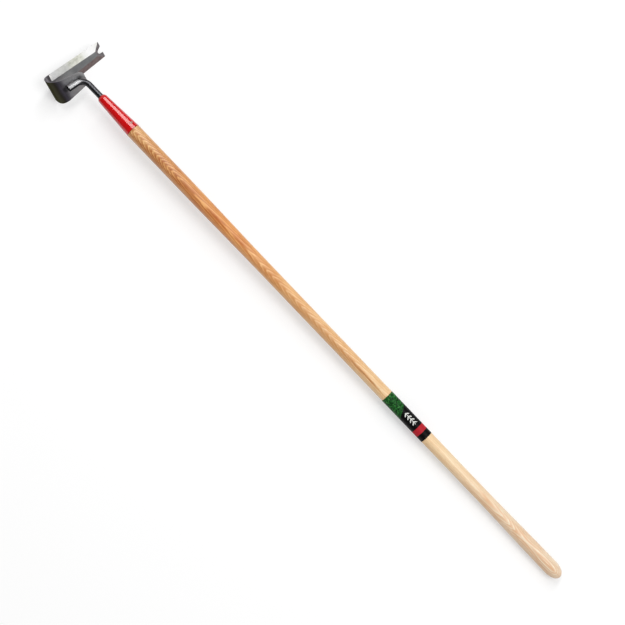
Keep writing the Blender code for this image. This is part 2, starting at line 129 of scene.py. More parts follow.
def addNode(tree, kind, *inputs, **settings):
    # The node's mode follows its kind after a colon, and the inputs are those in use, in order.
    # A setting is an attribute, the stops of a ramp, the points of a curve or a named input.
    kind, _, mode = kind.partition(":")
    node = tree.nodes.new("ShaderNode" + kind)
    if mode:
        setattr(node, {"Mix": "data_type", "MapRange": "interpolation_type"}.get(kind, "operation"), mode)
    for name, value in settings.items():
        if name == "stops":
            ramp = node.color_ramp
            while len(ramp.elements) < len(value):
                ramp.elements.new(1.0)
            for stop, (place, colour) in zip(ramp.elements, value):
                stop.position = place
                stop.color = linear(colour) if isinstance(colour, str) else (colour,) * 3 + (1.0,)
        elif name == "points":
            curve = node.mapping.curves[0]
            while len(curve.points) < len(value):
                curve.points.new(1.0, 1.0)
            for point, place in zip(curve.points, value):
                point.location = place
            node.mapping.update()
        elif hasattr(node, name):
            setattr(node, name, value)
        else:
            feed(node.inputs[name], value)
    for socket, value in zip(inUse(node.inputs), inputs):
        feed(socket, value)
    return node


def newMaterial(name, place):
    # Gives the material, what adds its nodes, and the coordinates of its pattern, which lies in
    # the frame of the head, the handle or the rivet
    material = bpy.data.materials.new(name)
    material.use_nodes = True
    material.node_tree.nodes.clear()
    add = partial(addNode, material.node_tree)
    coords = add("TexCoord").outputs["Object"]
    turn = place.to_euler()
    coords = add("Mapping", coords, vector_type="TEXTURE", Location=place.translation, Rotation=turn)
    return material, add, coords


# Making pieces

axisGap = 0.05 * mm  # a turned profile that is capped ends this near to its axis


def loft(rings, capped=True):
    # A skin through rings of equally many points, capped at both ends or closed all round
    shape = bmesh.new()
    loops = [[shape.verts.new(point) for point in ring] for ring in rings]
    pairs = list(zip(loops, loops[1:]))
    if not capped:
        pairs.append((loops[-1], loops[0]))
    for near, far in pairs:
        for i in range(len(near)):
            j = (i + 1) % len(near)
            shape.faces.new((near[i], near[j], far[j], far[i]))
    if capped:
        shape.faces.new(loops[0])
        shape.faces.new(loops[-1])
    bmesh.ops.recalc_face_normals(shape, faces=shape.faces)
    return shape


def turned(profile, sides, capped=True):
    # Turns (radius, z) points about z
    angles = [2 * pi * i / sides for i in range(sides)]
    rings = [[(radius * cos(a), radius * sin(a), z) for a in angles] for radius, z in profile]
    return loft(rings, capped)


def quarter(steps):
    # Cosines and sines from 0 to 90 degrees
    angles = [pi / 2 * i / steps for i in range(steps + 1)]
    return [(cos(a), sin(a)) for a in angles]


def addObject(name, data):
    made = bpy.data.objects.new(name, data)
    bpy.context.scene.collection.objects.link(made)
    return made


def makeObject(name, shape, place, sharpAngle=32):
    mesh = bpy.data.meshes.new(name)
    shape.to_mesh(mesh)
    shape.free()
    mesh.transform(place)
    mesh.shade_smooth()
    mesh.set_sharp_from_angle(angle=radians(sharpAngle))
    return addObject(name, mesh)


def dress(piece, node, slot, *materials):
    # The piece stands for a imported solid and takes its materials
    for material in materials:
        piece.data.materials.append(material)
    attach(piece, "root")
    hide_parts(node)


# Steel of the head. The strip was pickled, so it is a dull warm grey with fine rolling lines
# along it, and a hot bend left an oxide on its outer side: olive, then plum, then grey. That
# side is also painted darker towards the bend, as painted shade and painted dark reflection.
# A ground bevel has lines square to the edge that scatter the light; the bevels are lit and
# shaded copies of one ground finish, the front pale with painted glints, the rear and the free
# end painted dark as shade.

steelLook = {
    # the real lines are about 0.1 mm apart, and are drawn coarser so that they show
    "rollLinePitch": 1.1 * mm,
    "grindLinePitch": 0.9 * mm,
    "chatterPitch": 8 * mm,
    "cloudSize": 16 * mm,
    "roughness": (0.31, 0.44),
    # between these distances from the bend the oxide's colours and the painted shade run, and so far they
    # wander
    "oxideAndShadeRun": (2.5 * mm, 80 * mm),
    "oxideAndShadeWander": 5 * mm,
    # outside: oxide colours, painted darker towards the bend as painted shade and painted dark reflection
    "outside": [
        (0.0, "#494939"), (0.052, "#3f3e33"), (0.09, "#37352b"), (0.13, "#2d2b25"), (0.17, "#312e30"),
        (0.22, "#3d3a42"), (0.27, "#3f3c42"), (0.32, "#4f4e52"), (0.374, "#6c6a6f"), (0.44, "#79797c"),
        (0.54, "#7e7e80"), (0.77, "#888889"), (1.0, "#a2a2a3"),
    ],
    "inside": [(0.0, "#8d888d"), (0.25, "#878589"), (0.6, "#909192"), (0.85, "#8b8d8e"), (1.0, "#767879")],
    "edge": [(0.0, "#67636a"), (0.18, "#57545a"), (0.35, "#727174"), (0.6, "#818183"), (1.0, "#7c7c7d")],
    # painted shade round the foot's end, where bar and flange meet: its middle, and between what distances
    # it fades
    "footShadePlace": (28 * mm, 2 * mm),
    "footShadeReach": (5 * mm, 12 * mm),
}


def pickledStainless(name, ramp, edgeTint=1.0, sooty=False):
    material, add, coords = newMaterial(name, headPlace)
    stretch = add("Mapping", coords, Scale=(0.06, 1.0, 0.35))
    lines = add("TexNoise", stretch, Scale=1 / steelLook["rollLinePitch"], Detail=3.0, Roughness=0.6)
    clouds = add("TexNoise", coords, Scale=1 / steelLook["cloudSize"], Detail=4.0, Roughness=0.55)
    # the bands of oxide and painted shade lean and wander a little
    fromBend = add("VectorMath:DOT_PRODUCT", coords, (1.0, 0.04, 0.0))
    wander = add("Math:MULTIPLY_ADD", clouds, steelLook["oxideAndShadeWander"], fromBend)
    share = add("MapRange", wander, *steelLook["oxideAndShadeRun"])
    band = add("ValToRGB", share, stops=ramp)
    mottle = add("Math:MULTIPLY_ADD", lines, 0.4, clouds)
    shade = add("MapRange", mottle, 0.5, 0.9, 0.84, 1.14)
    colour = add("VectorMath:SCALE", band, shade)
    # painted shade darkens the flange round the foot's end
    if sooty:
        fromFoot = add("VectorMath:DISTANCE", coords, (*steelLook["footShadePlace"], strip["height"]))
        soot = add("MapRange:SMOOTHSTEP", fromFoot, *steelLook["footShadeReach"], 0.32)
        colour = add("VectorMath:SCALE", colour, soot)
    rough = add("MapRange", clouds, 0.3, 0.7, *steelLook["roughness"])
    relief = add("Bump", Height=lines, Strength=0.25, Distance=0.02 * mm)
    add("OutputMaterial", add("BsdfPrincipled", **{
        "Base Color": colour, "Metallic": 1.0, "Roughness": rough, "Normal": relief,
        "Specular Tint": (edgeTint, edgeTint, edgeTint, 1.0),
    }))
    return material


def groundStainless(name, pale, dark, metal, roughness, glints=None):
    material, add, coords = newMaterial(name, headPlace)
    stretch = add("Mapping", coords, Scale=(1.0, 0.05, 0.05))
    lines = add("TexNoise", stretch, Scale=1 / steelLook["grindLinePitch"], Detail=4.0, Roughness=0.65)
    chatter = add("TexNoise", coords, Scale=1 / steelLook["chatterPitch"], Detail=4.0, Roughness=0.6)
    mixed = add("Math:MULTIPLY_ADD", lines, 0.25, chatter)
    colour = add("ValToRGB", mixed, stops=[(0.46, dark), (0.78, pale)])
    if glints:
        # painted glints whiten the bevel where it mirrors the lamps, and near the bend it is less metallic
        split = add("SeparateXYZ", coords)
        along = add("MapRange", split.outputs["X"], 0.0, strip["bladeReach"])
        glint = add("ValToRGB", along, stops=glints)
        colour = add("Mix:RGBA", glint, colour, linear("#ffffff"))
        metal = add("MapRange", along, 0.3, 0.5, 0.2, metal)
    rough = add("MapRange", lines, 0.3, 0.7, roughness - 0.05, roughness + 0.06)
    relief = add("Bump", Height=lines, Strength=0.3, Distance=0.015 * mm)
    add("OutputMaterial", add("BsdfPrincipled", **{
        "Base Color": colour, "Metallic": metal, "Roughness": rough, "Normal": relief,
    }))
    return material


# The strip, with the sizes of its solid

strip = {
    "thickness": 3 * mm,
    "bladeReach": 163.5 * mm,
    "endWidth": 47 * mm,
    "rootWidth": 61 * mm,
    "widest": 68.8 * mm,
    "widestAngle": 39,
    "height": 48.6 * mm,
    "lowerBend": 13 * mm,
    "upperBend": 28 * mm,
    "flangeReach": 82 * mm,
    "flangeEndWidth": 40.5 * mm,
    "flangeRise": 3.8,
    "flangeCorner": 11.5 * mm,
    "cornerStretch": 1.12,  # the sides slope, so the corner starts early
    "edgeRounding": 0.35 * mm,
    "bendSteps": 26,
}

grind = {
    "land": 0.4 * mm,
    "frontWidth": 18.6 * mm,
    "rearWidth": 16 * mm,
    "endWidth": 18 * mm,
    "start": 17.5 * mm,
    "runOut": 7 * mm,
    "spread": 1.5,
    "clear": 0.3 * mm,
    # painted glints: how far the front bevel is whitened, at shares of the blade's length from the bend
    "glints": [
        (0.1, 1.0), (0.18, 0.9), (0.28, 0.6), (0.4, 0.55), (0.47, 0.0), (0.66, 0.0), (0.73, 0.7), (0.8, 1.0),
        (0.9, 0.9), (0.95, 0.6),
    ],
}

notch = {
    "mouth": 17.8 * mm,
    "depth": 12.5 * mm,
    "rootRadius": 6.6 * mm,
    "rootShift": 2.2 * mm,
    "frontLip": 14.5 * mm,
    "past": 20 * mm,
    "steps": 36,
}


def stripStations():
    # Where along the flat blank its five stretches end
    turn = radians(90 - strip["flangeRise"])
    blade = strip["bladeReach"] - strip["lowerBend"]
    lower = blade + strip["lowerBend"] * pi / 2
    web = lower + strip["height"] - strip["lowerBend"] - strip["upperBend"]
    upper = web + strip["upperBend"] * turn
    rootX = strip["upperBend"] * (1 - cos(turn))
    flange = upper + (strip["flangeReach"] - rootX) / cos(pi / 2 - turn)
    return blade, lower, web, upper, flange


def flangeRoot():
    turn = radians(90 - strip["flangeRise"])
    x = strip["upperBend"] * (1 - cos(turn))
    return Vector((x, 0, strip["height"] - strip["upperBend"] * (1 - sin(turn))))


def flangeAxes():
    rise = radians(strip["flangeRise"])
    along = Vector((cos(rise), 0, sin(rise)))
    return along, Vector((-along.z, 0, along.x))


def bent(station, y, depth):
    # Bends a point of the flat blank, depth below its outer face, into the J
    blade, lower, web, upper, _ = stripStations()
    if station <= blade:
        return Vector((strip["bladeReach"] - station, y, depth))
    if station <= lower:
        turn = (station - blade) / strip["lowerBend"]
        reach = strip["lowerBend"] - depth
        centre = strip["lowerBend"]
        return Vector((centre - reach * sin(turn), y, centre - reach * cos(turn)))
    if station <= web:
        return Vector((depth, y, strip["lowerBend"] + station - lower))
    if station <= upper:
        turn = (station - web) / strip["upperBend"]
        reach = strip["upperBend"] - depth
        z = strip["height"] - strip["upperBend"] + reach * sin(turn)
        return Vector((strip["upperBend"] - reach * cos(turn), y, z))
    along, normal = flangeAxes()
    return flangeRoot() + along * (station - upper) - normal * depth + Vector((0, y, 0))


def halfWidth(station):
    # Half the strip's width at a station, with the round corners at the flange's end
    blade, _, web, _, flange = stripStations()
    widest = web + strip["upperBend"] * radians(strip["widestAngle"])
    places = (0, blade, widest, flange)
    widths = (strip["endWidth"], strip["rootWidth"], strip["widest"], strip["flangeEndWidth"])
    side = float(np.interp(station, places, widths)) / 2
    radius = strip["flangeCorner"]
    reach = radius * strip["cornerStretch"]
    into = station - (flange - reach)
    if into > 0:
        share = min(1.0, into / reach)
        side -= radius * (1 - sqrt(max(0.0, 1 - share * share)))
    return side


def stripSection(station, inset):
    # A rounded rectangle, inset at the strip's two ends
    rounding = strip["edgeRounding"]
    half = halfWidth(station) - inset
    low, high = inset, strip["thickness"] - inset
    radius = max(0.02 * mm, rounding - inset)
    corners = ((half, high, 0), (-half, high, 90), (-half, low, 180), (half, low, 270))
    section = []
    for y, depth, start in corners:
        midY = y - copysign(radius, y)
        midDepth = depth - radius if depth == high else depth + radius
        for turn in (0, 30, 60, 90):
            angle = radians(start + turn)
            section.append(bent(station, midY + radius * cos(angle), midDepth + radius * sin(angle)))
    return section


def stripShape():
    blade, lower, web, upper, flange = stripStations()
    rounding = strip["edgeRounding"]
    stations = [rounding, web + strip["upperBend"] * radians(strip["widestAngle"])]
    reach = strip["flangeCorner"] * strip["cornerStretch"]
    for i in range(strip["bendSteps"] + 1):
        share = i / strip["bendSteps"]
        stations.append(blade + (lower - blade) * share)
        stations.append(web + (upper - web) * share)
        stations.append(flange - reach + sin(share * pi / 2) * reach - rounding * share)
    slight, full = rounding * 0.3, rounding * 0.9
    insets = {0: full, slight: slight, flange - slight: slight, flange: full}
    return loft([stripSection(s, insets.get(s, 0)) for s in sorted({*stations, *insets})])


def bladeEdge(x, side, inset, z):
    # A point on the blade at x, inset from its front (1) or rear (-1) edge
    slope = (strip["rootWidth"] - strip["endWidth"]) / (strip["bladeReach"] - strip["lowerBend"]) / 2
    half = strip["rootWidth"] / 2 - slope * (x - strip["lowerBend"])
    return Vector((x, side * (half - inset), z))


def wedge(edge, innerLine, runOut=0.0):
    # What is ground off over the plane from a cutting edge to the inner line of its bevel
    top = strip["thickness"] + grind["clear"]
    shape = bmesh.new()
    for outer, inner, lean in zip(edge, innerLine, (runOut, 0.0)):
        slope = lean / (strip["thickness"] - grind["land"])
        for point in (inner, inner + (outer - inner) * grind["spread"]):
            rise = top - point.z
            shape.verts.new(point)
            shape.verts.new(point + Vector((-slope * rise, 0, rise)))
    bmesh.ops.convex_hull(shape, input=shape.verts)
    bmesh.ops.recalc_face_normals(shape, faces=shape.faces)
    return shape


def sideWedge(side, width):
    past = strip["bladeReach"] + grind["endWidth"]
    start = grind["start"]
    edge = [bladeEdge(x, side, 0, grind["land"]) for x in (start + grind["runOut"], past)]
    inner = [bladeEdge(x, side, width, strip["thickness"]) for x in (start, past)]
    return wedge(edge, inner, grind["runOut"])


def endWedge():
    reach, across = strip["bladeReach"], strip["rootWidth"]
    edge = [Vector((reach, y, grind["land"])) for y in (across, -across)]
    inner = [Vector((reach - grind["endWidth"], y, strip["thickness"])) for y in (across, -across)]
    return wedge(edge, inner)


def notchShape():
    reach = strip["bladeReach"]
    frontLip = Vector((reach, strip["endWidth"] / 2 - notch["frontLip"]))
    rearLip = frontLip - Vector((0, notch["mouth"]))
    radius = notch["rootRadius"]
    centre = (frontLip + rearLip) / 2 + Vector((radius - notch["depth"], -notch["rootShift"]))
    touches = []
    for lip, side in ((frontLip, 1), (rearLip, -1)):
        away = lip - centre
        touches.append(atan2(away.y, away.x) + side * acos(radius / away.length))
    outline = [frontLip + Vector((notch["past"], 0)), frontLip]
    sweep = touches[1] + 2 * pi - touches[0]
    for i in range(notch["steps"] + 1):
        angle = touches[0] + sweep * i / notch["steps"]
        outline.append(centre + Vector((cos(angle), sin(angle))) * radius)
    outline += [rearLip, rearLip + Vector((notch["past"], 0))]
    levels = (-5 * mm, 2 * strip["thickness"])
    return loft([[(p.x, p.y, z) for p in outline] for z in levels])


def bevelNormal(y, x, width):
    # The way a bevel faces that drops over its width towards (x, y)
    drop = strip["thickness"] - grind["land"]
    return Vector((x * drop, y * drop, width)).normalized()


stripFinishes = ("outside", "inside", "edge", "frontBevel", "rearBevel", "endBevel", "runOut")


def stripFinish(centre, normal):
    # Which finish a face of the cut strip has, by where it lies and how it faces. A bevel's own
    # faces are within 3 degrees of its normal.
    if abs(normal.y) > 0.72 or (abs(normal.z) < 0.5 and centre.x > strip["bladeReach"] - grind["endWidth"]):
        return "edge"
    onBlade = centre.x > grind["start"] and centre.z < strip["thickness"] + 0.1 * mm
    if onBlade and normal.z > 0:
        for bevel, y, x in (("front", 1, 0), ("rear", -1, 0), ("end", 0, 1)):
            if normal.dot(bevelNormal(y, x, grind[bevel + "Width"])) > 0.9985:
                return bevel + "Bevel"
        if normal.x > 0.05:
            return "runOut" if centre.y > 0 else "rearBevel"
    inside = Vector((40 * mm, 0, strip["height"] / 2))  # a point between blade and flange
    toInside = inside - centre
    toInside.y = 0
    return "inside" if normal.dot(toInside) > 0 else "outside"


def makeStrip():
    piece = makeObject("bentStrip", stripShape(), Matrix())
    wedges = [sideWedge(1, grind["frontWidth"]), sideWedge(-1, grind["rearWidth"]), endWedge()]
    cutters = [makeObject("cutter", shape, Matrix()) for shape in (notchShape(), *wedges)]
    for cutter in cutters:
        boolean = piece.modifiers.new("cut", "BOOLEAN")
        boolean.operation = "DIFFERENCE"
        boolean.solver = "EXACT"
        boolean.object = cutter
    bpy.context.view_layer.update()
    cut = piece.evaluated_get(bpy.context.evaluated_depsgraph_get())
    piece.data = bpy.data.meshes.new_from_object(cut)
    piece.modifiers.clear()
    for cutter in cutters:
        bpy.data.objects.remove(cutter)
    for face in piece.data.polygons:
        face.material_index = stripFinishes.index(stripFinish(face.center, face.normal))
    piece.data.shade_smooth()
    piece.data.set_sharp_from_angle(angle=radians(4))  # the bevels meet the plane at small angles
    piece.data.transform(headPlace)
    dress(
        piece, "hoe_head", "stainless_steel",
        pickledStainless("pickledOuterSide", steelLook["outside"], 0.35, sooty=True),
        pickledStainless("pickledInnerSide", steelLook["inside"]),
        pickledStainless("shearedEdge", steelLook["edge"]),
        # front bevel: pale, with painted glints, as a painted highlight
        groundStainless("groundFrontEdgePaintedHighlight", "#eeefe5", "#c8cabd", 0.8, 0.42, grind["glints"]),
        # rear bevel and free end: the same ground finish painted dark as shade, the rear with a painted
        # reddish reflection
        groundStainless("groundRearEdgePaintedShade", "#786b69", "#685b5b", 0.95, 0.4),
        groundStainless("groundFreeEndPaintedShade", "#7a7577", "#6a6567", 0.95, 0.4),
        # run-out facet: painted white as a painted highlight
        groundStainless("grindingRunOutPaintedHighlight", "#ffffff", "#fafaf6", 0.9, 0.3),
    )


makeStrip()
print("strip made")


# The neck: a drawn bar, bent on a former, with pressed ribs on its foot

neck = {
    "diameter": 14.5 * mm,
    "footStart": 30.5 * mm,
    "footOffset": 3.6 * mm,
    "footHeight": 6.75 * mm,
    "chamfer": 0.8 * mm,
    "ribPitch": 2.3 * mm,
    "ribDepth": 0.36 * mm,
    "ribbedLength": 22 * mm,
    "ribPlace": 0.68,
    "ribHalfWidth": 0.24,
    "crossing": 74.6 * mm,
    "bendRadius": 24 * mm,
    "reach": 61.7 * mm,
    "tail": 6 * mm,
    "sides": 64,
    "footSteps": 110,
    "bendSteps": 40,
    "blotchSize": 5 * mm,
    # between what places on the head the painted black shade on the sawn end, the foot's painted highlight
    # and that highlight's front edge fade
    "sawnEnd": (31.0 * mm, 32.4 * mm),
    "footHighlightEnd": (58 * mm, 70 * mm),
    "footHighlightEdge": (4.2 * mm, 7.0 * mm),
}


def flangePoint(x, y, height):
    along, normal = flangeAxes()
    root = flangeRoot()
    return root + along * ((x - root.x) / along.x) + normal * height + Vector((0, y, 0))


def ribBite(along):
    # How deep the pressed ribs bite at a distance along the foot
    if not neck["chamfer"] < along < neck["ribbedLength"]:
        return 0.0
    phase = (along - neck["chamfer"]) / neck["ribPitch"] % 1.0
    return neck["ribDepth"] * max(0.0, 1 - abs(phase - neck["ribPlace"]) / neck["ribHalfWidth"])


def makeNeck(material):
    along, normal = flangeAxes()
    rod = (headPlace.to_3x3().inverted() @ handlePlace.to_3x3() @ Vector((0, 0, 1))).normalized()
    planeNormal = along.cross(rod).normalized()
    crossing = flangePoint(neck["crossing"], neck["footOffset"], neck["footHeight"])
    turn = along.angle(rod)
    start = flangePoint(neck["footStart"], neck["footOffset"], neck["footHeight"])
    bendStart = crossing - along * (neck["bendRadius"] * tan(turn / 2))
    bendCentre = bendStart + planeNormal.cross(along) * neck["bendRadius"]
    radius = neck["diameter"] / 2
    sections = []
    footLength = (bendStart - start).length
    for back, out in quarter(4):
        size = radius - neck["chamfer"] * (1 - out)
        sections.append((start + along * neck["chamfer"] * (1 - back), along, size, 0.0))
    for i in range(1, neck["footSteps"]):
        distance = neck["chamfer"] + (footLength - neck["chamfer"]) * i / neck["footSteps"]
        sections.append((start + along * distance, along, radius, ribBite(distance)))
    for i in range(neck["bendSteps"] + 1):
        swing = Matrix.Rotation(turn * i / neck["bendSteps"], 3, planeNormal)
        centre = bendCentre + swing @ (bendStart - bendCentre)
        sections.append((centre, swing @ along, radius, 0.0))
    sections.append((crossing + rod * (neck["reach"] + neck["tail"]), rod, radius, 0.0))
    rings = []
    seat = flangePoint(0, 0, 0)
    for centre, direction, size, bite in sections:
        inward = planeNormal.cross(direction)
        ring = []
        for i in range(neck["sides"]):
            angle = 2 * pi * i / neck["sides"]
            spoke = inward * cos(angle) + planeNormal * sin(angle)
            top = max(0.0, spoke.dot(normal))
            point = centre + spoke * (size - bite * top)
            sunk = min(0.0, (point - seat).dot(normal))
            ring.append(point - normal * sunk)
        rings.append(ring)
    piece = makeObject("neckRod", loft(rings), headPlace)
    dress(piece, "neck_rod", "neck_steel", material)


def drawnSteel():
    # drawn bar is dark with a scale left from its hot bend. Its pressed foot has a painted highlight
    # along the front flank and painted shade elsewhere, black on its sawn end
    material, add, coords = newMaterial("drawnSteelBar", headPlace)
    split = add("SeparateXYZ", coords)
    x, y = split.outputs["X"], split.outputs["Y"]
    blotches = add("TexNoise", coords, Scale=1 / neck["blotchSize"], Detail=4.0, Roughness=0.6)
    body = add("ValToRGB", blotches, stops=[(0.3, "#414144"), (0.7, "#59595c")])
    ribs = add("MapRange:SMOOTHSTEP", x, *neck["footHighlightEnd"], 1.0, 0.0)
    pastEnd = add("MapRange:SMOOTHSTEP", x, *neck["sawnEnd"])
    front = add("MapRange:SMOOTHSTEP", y, *neck["footHighlightEdge"])
    along = add("Math:MULTIPLY", ribs, pastEnd)
    rubbed = add("Math:MULTIPLY", along, front)
    bright = add("ValToRGB", blotches, stops=[(0.3, "#c4c4c6"), (0.7, "#dadadc")])
    # painted shade: the rest of the foot is darkened, and its sawn end painted black
    flank = add("Mix:RGBA", ribs, body, linear("#2c2c30"))
    sawn = add("Mix:RGBA", pastEnd, linear("#0c0c0e"), flank)
    colour = add("Mix:RGBA", rubbed, sawn, bright)
    # where the highlight is painted, the foot is also rougher
    matt = add("Math:MULTIPLY_ADD", rubbed, 0.28, blotches)
    rough = add("MapRange", matt, 0.3, 0.98, 0.24, 0.62)
    relief = add("Bump", Height=blotches, Strength=0.2, Distance=0.03 * mm)
    add("OutputMaterial", add("BsdfPrincipled", **{
        "Base Color": colour, "Metallic": 1.0, "Roughness": rough, "Normal": relief,
        "Specular Tint": (0.4, 0.4, 0.4, 1.0),
    }))
    return material


makeNeck(drawnSteel())
print("neck made")


# Weld seams: laid in overlapping drops, so their face is rippled, with a dark heat scale

weld = {
    "height": 1.9 * mm,
    "leg": 1.2 * mm,
    "seat": 0.3 * mm,
    "ripplePitch": 1.5 * mm,
    "rippleDepth": 0.22,
    "footLength": 21 * mm,
    "footSteps": 120,
    "roundEnd": 1.5 * mm,
    "noseLeg": 2.2 * mm,
    "noseRipple": 0.08,
    "noseRippleRate": 1.3,
    "squareness": 0.85,
    "gap": 0.05 * mm,
    "scaleSize": 2.5 * mm,
}


def weldScale():
    material, add, coords = newMaterial("weldScale", headPlace)
    scale = add("TexNoise", coords, Scale=1 / weld["scaleSize"], Detail=5.0, Roughness=0.65)
    colour = add("ValToRGB", scale, stops=[(0.3, "#4a4a4d"), (0.6, "#868081"), (0.8, "#a49c97")])
    relief = add("Bump", Height=scale, Strength=0.4, Distance=0.06 * mm)
    add("OutputMaterial", add("BsdfPrincipled", **{
        "Base Color": colour, "Metallic": 0.5, "Roughness": 0.48, "Normal": relief,
    }))
    return material


def ripple(distance):
    return 1 - weld["rippleDepth"] * (distance / weld["ripplePitch"] % 1.0) ** 2


def makeFootWeld(name, node, side, material):
    along, normal = flangeAxes()
    reach = neck["diameter"] / 2 + weld["gap"]
    base = weld["seat"] / 2
    low = asin((neck["footHeight"] - base) / reach)
    high = asin((neck["footHeight"] - weld["height"]) / reach)
    rings = []
    for i in range(weld["footSteps"] + 1):
        distance = weld["footLength"] * i / weld["footSteps"]
        fromEnd = max(0.0, min(distance, weld["footLength"] - distance))
        ends = min(1.0, sqrt(fromEnd / weld["roundEnd"]) + 0.05)
        size = ripple(distance) * ends
        ring = []
        for j in range(6):
            angle = low + (high - low) * j / 5 * (0.4 + 0.6 * ends)
            ring.append((reach * cos(angle), neck["footHeight"] - reach * sin(angle)))
        topOut, topUp = ring[-1]
        for back, out in quarter(6)[1:]:
            ring.append((topOut + weld["leg"] * size * out, base + (topUp - base) * back ** 0.8))
        start = flangePoint(neck["footStart"], neck["footOffset"], 0) + along * (neck["chamfer"] + distance)
        rings.append([start + Vector((0, side * out, 0)) + normal * up for out, up in ring])
    piece = makeObject(name, loft(rings), headPlace, 50)
    dress(piece, node, "weld_bead", material)


heatScale = weldScale()
makeFootWeld("footWeldFront", "foot_weld_front", 1, heatScale)
makeFootWeld("footWeldRear", "foot_weld_rear", -1, heatScale)
print("welds made")


# The socket: a steel tube drawn to a taper and dipped in gloss red lacquer, which keeps a faint
# orange peel; its red is darker over the last stretch to the mouth's edge

socket = {
    "length": 108.6 * mm,
    "noseDiameter": 24.8 * mm,
    "noseDome": 9 * mm,
    "noseHole": 7.65 * mm,
    "noseFlat": 9.85 * mm,
    "mouthDiameter": 36.4 * mm,
    "wall": 1.6 * mm,
    "lip": 0.5 * mm,
    "steps": 24,
    "thinEdge": 1.6 * mm,
    "flowSize": 30 * mm,
    "peelSize": 9 * mm,  # really 1 to 2 mm, and drawn coarser so that it stays smooth
    "sides": 160,
}


def socketRadius(z):
    share = (z - socket["noseDome"]) / (socket["length"] - socket["noseDome"])
    return (socket["noseDiameter"] + (socket["mouthDiameter"] - socket["noseDiameter"]) * share) / 2


def redLacquer(name, pale, deep):
    material, add, coords = newMaterial(name, handlePlace)
    split = add("SeparateXYZ", coords)
    flow = add("TexNoise", coords, Scale=1 / socket["flowSize"], Detail=2.0)
    peel = add("TexNoise", coords, Scale=1 / socket["peelSize"], Detail=0.0)
    colour = add("ValToRGB", flow, stops=[(0.3, deep), (0.65, pale)])
    mouth = socket["length"]
    thinEdge = add("MapRange:SMOOTHSTEP", split.outputs["Z"], mouth - socket["thinEdge"], mouth - 0.2 * mm)
    edged = add("Mix:RGBA", thinEdge, colour, linear("#8a0308"))
    relief = add("Bump", Height=peel, Strength=0.2, Distance=0.15 * mm)
    add("OutputMaterial", add("BsdfPrincipled", **{
        "Base Color": edged, "Roughness": 0.22, "IOR": 1.5, "Specular IOR Level": 0.25, "Coat Weight": 0.8,
        "Coat Roughness": 0.16, "Normal": relief,
    }))
    return material


def makeSocket(material):
    length, wall, lip, dome = (socket[k] for k in ("length", "wall", "lip", "noseDome"))
    hole, flat, nose = socket["noseHole"], socket["noseFlat"], socket["noseDiameter"] / 2
    mouth = socketRadius(length)
    profile = [(hole, 0.0)]
    profile += [(flat + (nose - flat) * out, dome * (1 - back)) for back, out in quarter(16)]
    for i in range(1, socket["steps"] + 1):
        z = dome + (length - dome - lip) * i / socket["steps"]
        profile.append((socketRadius(z), z))
    profile += [(mouth - lip * (1 - back), length - lip * (1 - out)) for back, out in quarter(5)[1:]]
    profile += [(mouth - wall, length), (socketRadius(dome) - wall, dome), (flat, wall * 1.5), (hole, wall)]
    piece = makeObject("redSocket", turned(profile, socket["sides"], False), handlePlace)
    dress(piece, "socket", "red_lacquer", material)


def makeNoseWeld(material):
    inner, top = neck["diameter"] / 2 + 0.1 * mm, -weld["gap"]
    squareness = weld["squareness"]
    rings = []
    for i in range(socket["sides"]):
        angle = 2 * pi * i / socket["sides"]
        share = ripple(inner * angle * weld["noseRippleRate"])
        size = weld["noseLeg"] * (1 - weld["noseRipple"] * (1 - share))
        section = [(inner, top), (inner + size, top)]
        for back, out in quarter(8)[1:-1]:
            section.append((inner + size * back ** squareness, top - size * out ** squareness))
        section.append((inner, top - size))
        rings.append([(r * cos(angle), r * sin(angle), z) for r, z in section])
    piece = makeObject("noseWeldBead", loft(rings, False), handlePlace, 50)
    dress(piece, "nose_weld", "nose_lacquer", material)


makeSocket(redLacquer("redLacquer", "#d40004", "#c40002"))
# the same lacquer on the nose weld, painted darker as shade in the crease where the rod enters
makeNoseWeld(redLacquer("redLacquerShadedOnWeld", "#b40006", "#940004"))
print("socket made")


# The rivet: a steel pin with snapped round heads, its lacquer rubbed through

rivet = {
    "fromMouth": 14.1 * mm,
    "shank": 4.5 * mm,
    "head": 7.5 * mm,
    "headHeight": 1.9 * mm,
    "seat": 0.2 * mm,
    "turn": -26,
    "wearSize": 2 * mm,
    "sides": 48,
}


def rivetPlace():
    # The rivet's turn is counted from the head's upward direction
    along, up = handlePlace.col[2].xyz, headPlace.col[2].xyz
    xAxis = (up - along * up.dot(along)).normalized()
    handleFrame = placeFrom(xAxis, along.cross(xAxis), along, handlePlace.translation)
    turn = Matrix.Rotation(radians(rivet["turn"]), 4, "Z")
    lay = Matrix.Rotation(radians(90), 4, "Y")
    return handleFrame @ Matrix.Translation((0, 0, socket["length"] - rivet["fromMouth"])) @ turn @ lay


def rubbedRivet():
    material, add, coords = newMaterial("rubbedRivetSteel", rivetPlace())
    wear = add("TexNoise", coords, Scale=1 / rivet["wearSize"], Detail=4.0, Roughness=0.6)
    bare = add("MapRange", wear, 0.4, 0.55)
    colour = add("Mix:RGBA", bare, linear("#8f3a36"), linear("#c9a49c"))
    add("OutputMaterial", add("BsdfPrincipled", **{
        "Base Color": colour, "Metallic": 0.8, "Roughness": 0.38,
    }))
    return material


def makeRivet(material):
    seat = socketRadius(socket["length"] - rivet["fromMouth"]) - rivet["seat"]
    half = []
    for back, out in quarter(8):
        half.append((max(axisGap, rivet["head"] / 2 * out), seat + rivet["headHeight"] * back))
    half.append((rivet["shank"] / 2, seat))
    profile = half + [(radius, -height) for radius, height in reversed(half)]
    piece = makeObject("socketRivet", turned(profile, rivet["sides"]), rivetPlace())
    dress(piece, "rivet", "rivet_steel", material)


makeRivet(rubbedRivet())
print("rivet made")


